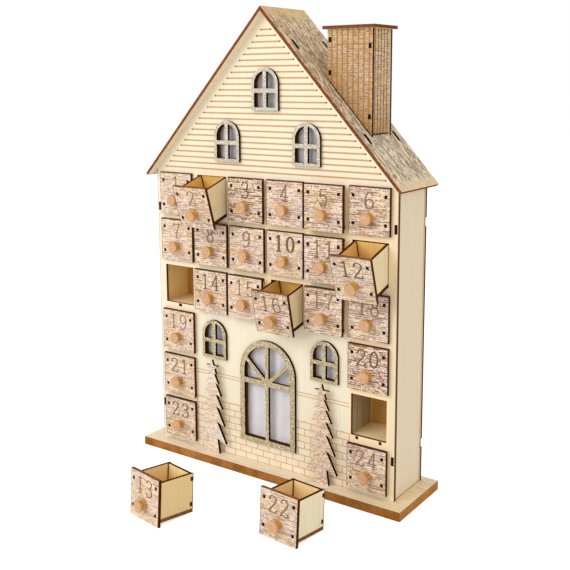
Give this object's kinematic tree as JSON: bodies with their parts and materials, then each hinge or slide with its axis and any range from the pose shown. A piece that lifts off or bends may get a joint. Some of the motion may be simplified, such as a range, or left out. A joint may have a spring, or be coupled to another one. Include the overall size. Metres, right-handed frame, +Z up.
{
  "type": "advent calendar",
  "caption": "Plywood house on a base board, with a gabled roof, a chimney, arched windows, two trees, and numbered drawers with turned knobs that slide out.",
  "frame": {"origin": "middle of the facade's front face, at the underside of the base board", "axes": "X to the right along the facade, Y to the back, Z up"},
  "size_m": [0.315, 0.2179, 0.4643],
  "materials": {
    "bare_ply": "bare poplar plywood with dark laser-cut edges",
    "fibreboard": "bare medium-density fibreboard, light face and brown edges",
    "cream_ply": "pale cream plywood, engraved with siding, bricks and a plain double line",
    "printed_ply": "plywood with a worn whitewash print and brown cut edges",
    "drawer_ply": "whitewashed front with a plain printed number, bare plywood box, turned beech knob",
    "glitter_ply": "plywood coated with champagne-coloured glitter",
    "fleece": "thin white fleece, faintly lavender"
  },
  "bodies": {
    "house": {"base_board": "fibreboard", "facade_panel": "cream_ply", "side_wall_left": "bare_ply", "side_wall_right": "bare_ply", "back_panel": "bare_ply", "compartment_back": "bare_ply", "attic_floor": "bare_ply", "shelf_1": "bare_ply", "shelf_2": "bare_ply", "shelf_3": "bare_ply", "shelf_4_left": "bare_ply", "shelf_4_right": "bare_ply", "shelf_5_left": "bare_ply", "shelf_5_right": "bare_ply", "house_floor": "bare_ply", "upper_dividers": "bare_ply", "lower_divider_left": "bare_ply", "lower_divider_right": "bare_ply", "roof_left": "printed_ply", "roof_right": "printed_ply", "chimney_front": "printed_ply", "chimney_back": "printed_ply", "chimney_left": "printed_ply", "chimney_right": "printed_ply", "chimney_cap": "printed_ply", "gable_window_top": "glitter_ply", "gable_window_left": "glitter_ply", "gable_window_right": "glitter_ply", "side_window_left": "glitter_ply", "side_window_right": "glitter_ply", "main_window_frame": "glitter_ply", "gable_diffuser": "fleece", "lower_diffuser": "fleece", "tree_left": "printed_ply", "tree_right": "printed_ply"},
    "drawer_01": {"drawer_01": "drawer_ply"},
    "drawer_02": {"drawer_02": "drawer_ply"},
    "drawer_03": {"drawer_03": "drawer_ply"},
    "drawer_04": {"drawer_04": "drawer_ply"},
    "drawer_05": {"drawer_05": "drawer_ply"},
    "drawer_06": {"drawer_06": "drawer_ply"},
    "drawer_07": {"drawer_07": "drawer_ply"},
    "drawer_08": {"drawer_08": "drawer_ply"},
    "drawer_09": {"drawer_09": "drawer_ply"},
    "drawer_10": {"drawer_10": "drawer_ply"},
    "drawer_11": {"drawer_11": "drawer_ply"},
    "drawer_12": {"drawer_12": "drawer_ply"},
    "drawer_13": {"drawer_13": "drawer_ply"},
    "drawer_14": {"drawer_14": "drawer_ply"},
    "drawer_15": {"drawer_15": "drawer_ply"},
    "drawer_16": {"drawer_16": "drawer_ply"},
    "drawer_17": {"drawer_17": "drawer_ply"},
    "drawer_18": {"drawer_18": "drawer_ply"},
    "drawer_19": {"drawer_19": "drawer_ply"},
    "drawer_20": {"drawer_20": "drawer_ply"},
    "drawer_21": {"drawer_21": "drawer_ply"},
    "drawer_22": {"drawer_22": "drawer_ply"},
    "drawer_23": {"drawer_23": "drawer_ply"},
    "drawer_24": {"drawer_24": "drawer_ply"}
  },
  "joints": [
    {"name": "drawer_01_slide", "type": "slide", "parent": "house", "child": "drawer_01", "axis": [0, -1, 0], "range_m": [0, 0.04]},
    {"name": "drawer_02_tip", "type": "hinge", "parent": "house", "child": "drawer_02", "pos_m": [-0.069, 0.01607, 0.19], "axis": [1, 0, 0], "range_deg": [-17.2, 0]},
    {"name": "drawer_03_slide", "type": "slide", "parent": "house", "child": "drawer_03", "axis": [0, -1, 0], "range_m": [-0.0022, 0.0378]},
    {"name": "drawer_04_slide", "type": "slide", "parent": "house", "child": "drawer_04", "axis": [0, -1, 0], "range_m": [-0.0008, 0.0392]},
    {"name": "drawer_05_slide", "type": "slide", "parent": "house", "child": "drawer_05", "axis": [0, -1, 0], "range_m": [-0.0045, 0.0355]},
    {"name": "drawer_06_slide", "type": "slide", "parent": "house", "child": "drawer_06", "axis": [0, -1, 0], "range_m": [0, 0.04]},
    {"name": "drawer_07_slide", "type": "slide", "parent": "house", "child": "drawer_07", "axis": [0, -1, 0], "range_m": [0, 0.04]},
    {"name": "drawer_08_slide", "type": "slide", "parent": "house", "child": "drawer_08", "axis": [0, -1, 0], "range_m": [-0.0008, 0.0152]},
    {"name": "drawer_09_slide", "type": "slide", "parent": "house", "child": "drawer_09", "axis": [0, -1, 0], "range_m": [-0.0008, 0.0392]},
    {"name": "drawer_10_slide", "type": "slide", "parent": "house", "child": "drawer_10", "axis": [0, -1, 0], "range_m": [-0.0008, 0.0392]},
    {"name": "drawer_11_slide", "type": "slide", "parent": "house", "child": "drawer_11", "axis": [0, -1, 0], "range_m": [-0.0045, 0.0355]},
    {"name": "drawer_12_tip", "type": "hinge", "parent": "house", "child": "drawer_12", "pos_m": [0.115, 0.01713, 0.13626], "axis": [1, 0, 0], "range_deg": [-17.2, 0]},
    {"name": "drawer_13_lift", "type": "slide", "parent": "house", "child": "drawer_13", "axis": [0, 0, 1], "range_m": [0, 0.16]},
    {"name": "drawer_14_slide", "type": "slide", "parent": "house", "child": "drawer_14", "axis": [0, -1, 0], "range_m": [-0.0022, 0.0378]},
    {"name": "drawer_15_slide", "type": "slide", "parent": "house", "child": "drawer_15", "axis": [0, -1, 0], "range_m": [-0.0045, 0.0355]},
    {"name": "drawer_16_tip", "type": "hinge", "parent": "house", "child": "drawer_16", "pos_m": [0.023, 0.01274, 0.08154], "axis": [1, 0, 0], "range_deg": [-12.9, 0]},
    {"name": "drawer_17_slide", "type": "slide", "parent": "house", "child": "drawer_17", "axis": [0, -1, 0], "range_m": [-0.0045, 0.0355]},
    {"name": "drawer_18_slide", "type": "slide", "parent": "house", "child": "drawer_18", "axis": [0, -1, 0], "range_m": [0, 0.0177]},
    {"name": "drawer_19_slide", "type": "slide", "parent": "house", "child": "drawer_19", "axis": [0, -1, 0], "range_m": [-0.0008, 0.0392]},
    {"name": "drawer_20_slide", "type": "slide", "parent": "house", "child": "drawer_20", "axis": [0, -1, 0], "range_m": [0, 0.04]},
    {"name": "drawer_21_slide", "type": "slide", "parent": "house", "child": "drawer_21", "axis": [0, -1, 0], "range_m": [-0.0008, 0.0392]},
    {"name": "drawer_22_lift", "type": "slide", "parent": "house", "child": "drawer_22", "axis": [0, 0, 1], "range_m": [0, 0.062]},
    {"name": "drawer_23_slide", "type": "slide", "parent": "house", "child": "drawer_23", "axis": [0, -1, 0], "range_m": [-0.0008, 0.0392]},
    {"name": "drawer_24_slide", "type": "slide", "parent": "house", "child": "drawer_24", "axis": [0, -1, 0], "range_m": [-0.0008, 0.0392]}
  ]
}
